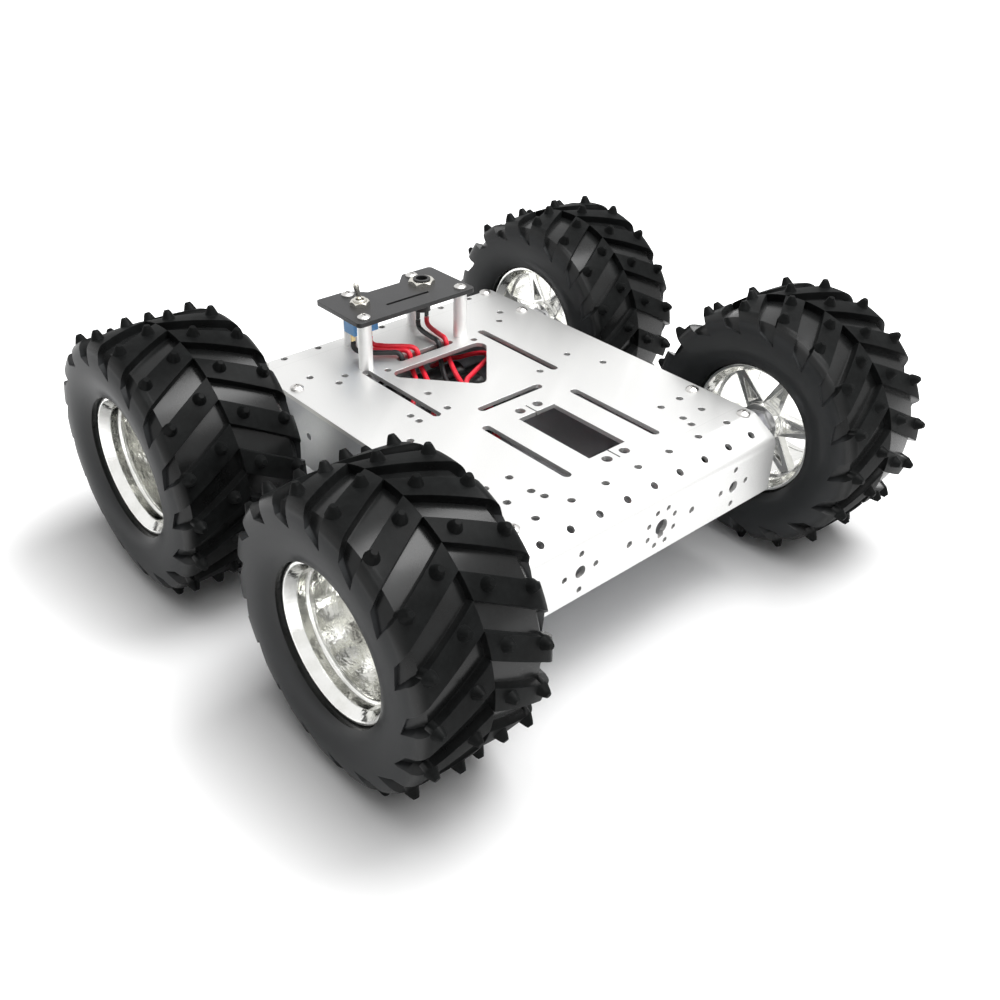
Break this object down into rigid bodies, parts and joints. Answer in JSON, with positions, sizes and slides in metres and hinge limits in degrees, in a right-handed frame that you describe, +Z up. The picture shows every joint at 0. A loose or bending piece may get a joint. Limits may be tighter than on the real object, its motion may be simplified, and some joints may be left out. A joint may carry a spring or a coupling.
{
  "type": "four-wheel robot chassis",
  "caption": "Four-wheel-drive off-road robot chassis with a drilled aluminium deck, switch bracket and spiked chevron tyres on chrome rims.",
  "frame": {"origin": "on the floor under the middle of the chassis", "axes": "+X forward, +Y left, +Z up"},
  "size_m": [0.2624, 0.2868, 0.1175],
  "materials": {
    "tyre_rubber": "semi-matte moulded rubber",
    "chrome_rim": "bright plating",
    "hub_aluminium": "turned",
    "bright_steel": "nickel plated",
    "shaft_steel": "ground",
    "gearbox_steel": "satin",
    "motor_steel": "drawn can",
    "brass_tabs": "stamped",
    "deck_aluminium": "bead-blasted, anodised silver",
    "side_aluminium": "bead-blasted, anodised silver",
    "black_bracket": "satin black",
    "post_aluminium": "satin",
    "blue_plastic": "moulded",
    "nickel": "nickel plated",
    "jack_black": "moulded",
    "battery_wrap": "shrink wrap",
    "red_wire": "silicone insulation",
    "black_wire": "silicone insulation"
  },
  "bodies": {
    "chassis": {"top_plate": "deck_aluminium", "left_side_plate": "side_aluminium", "right_side_plate": "side_aluminium", "base_plate": "side_aluminium", "deck_screws": "bright_steel", "base_screws": "bright_steel", "gearbox_screws": "shaft_steel", "switch_bracket": "black_bracket", "bracket_posts": "post_aluminium", "bracket_screws": "bright_steel", "post_screws": "bright_steel", "toggle_body": "blue_plastic", "toggle_bushing": "nickel", "toggle_nut": "nickel", "toggle_terminals": "brass_tabs", "jack_body": "jack_black", "jack_nut": "nickel", "battery_pack": "battery_wrap", "switch_wire_red": "red_wire", "switch_wire_red_two": "red_wire", "switch_wire_black": "black_wire", "jack_wire_red": "red_wire", "jack_wire_black": "black_wire", "motor_wire_red": "red_wire", "front_left_gearbox": "gearbox_steel", "front_left_motor": "motor_steel", "front_left_terminals": "brass_tabs", "front_right_gearbox": "gearbox_steel", "front_right_motor": "motor_steel", "front_right_terminals": "brass_tabs", "rear_left_gearbox": "gearbox_steel", "rear_left_motor": "motor_steel", "rear_left_terminals": "brass_tabs", "rear_right_gearbox": "gearbox_steel", "rear_right_motor": "motor_steel", "rear_right_terminals": "brass_tabs"},
    "front_left_wheel": {"front_left_tyre": "tyre_rubber", "front_left_rim": "chrome_rim", "front_left_hub_adapter": "hub_aluminium", "front_left_wheel_screw": "bright_steel", "front_left_drive_shaft": "shaft_steel"},
    "front_right_wheel": {"front_right_tyre": "tyre_rubber", "front_right_rim": "chrome_rim", "front_right_hub_adapter": "hub_aluminium", "front_right_wheel_screw": "bright_steel", "front_right_drive_shaft": "shaft_steel"},
    "rear_left_wheel": {"rear_left_tyre": "tyre_rubber", "rear_left_rim": "chrome_rim", "rear_left_hub_adapter": "hub_aluminium", "rear_left_wheel_screw": "bright_steel", "rear_left_drive_shaft": "shaft_steel"},
    "rear_right_wheel": {"rear_right_tyre": "tyre_rubber", "rear_right_rim": "chrome_rim", "rear_right_hub_adapter": "hub_aluminium", "rear_right_wheel_screw": "bright_steel", "rear_right_drive_shaft": "shaft_steel"},
    "toggle": {"toggle_lever": "nickel"}
  },
  "joints": [
    {"name": "front_left_spin", "type": "hinge", "parent": "chassis", "child": "front_left_wheel", "pos_m": [0.0725, 0.08, 0.05873], "axis": [0, 1, 0], "continuous": true},
    {"name": "front_right_spin", "type": "hinge", "parent": "chassis", "child": "front_right_wheel", "pos_m": [0.0725, -0.08, 0.05873], "axis": [0, 1, 0], "continuous": true},
    {"name": "rear_left_spin", "type": "hinge", "parent": "chassis", "child": "rear_left_wheel", "pos_m": [-0.0725, 0.08, 0.05873], "axis": [0, 1, 0], "continuous": true},
    {"name": "rear_right_spin", "type": "hinge", "parent": "chassis", "child": "rear_right_wheel", "pos_m": [-0.0725, -0.08, 0.05873], "axis": [0, 1, 0], "continuous": true},
    {"name": "toggle_throw", "type": "hinge", "parent": "chassis", "child": "toggle", "pos_m": [-0.065, -0.0244, 0.10433], "axis": [-1, 0, 0], "range_deg": [0, 24]}
  ]
}
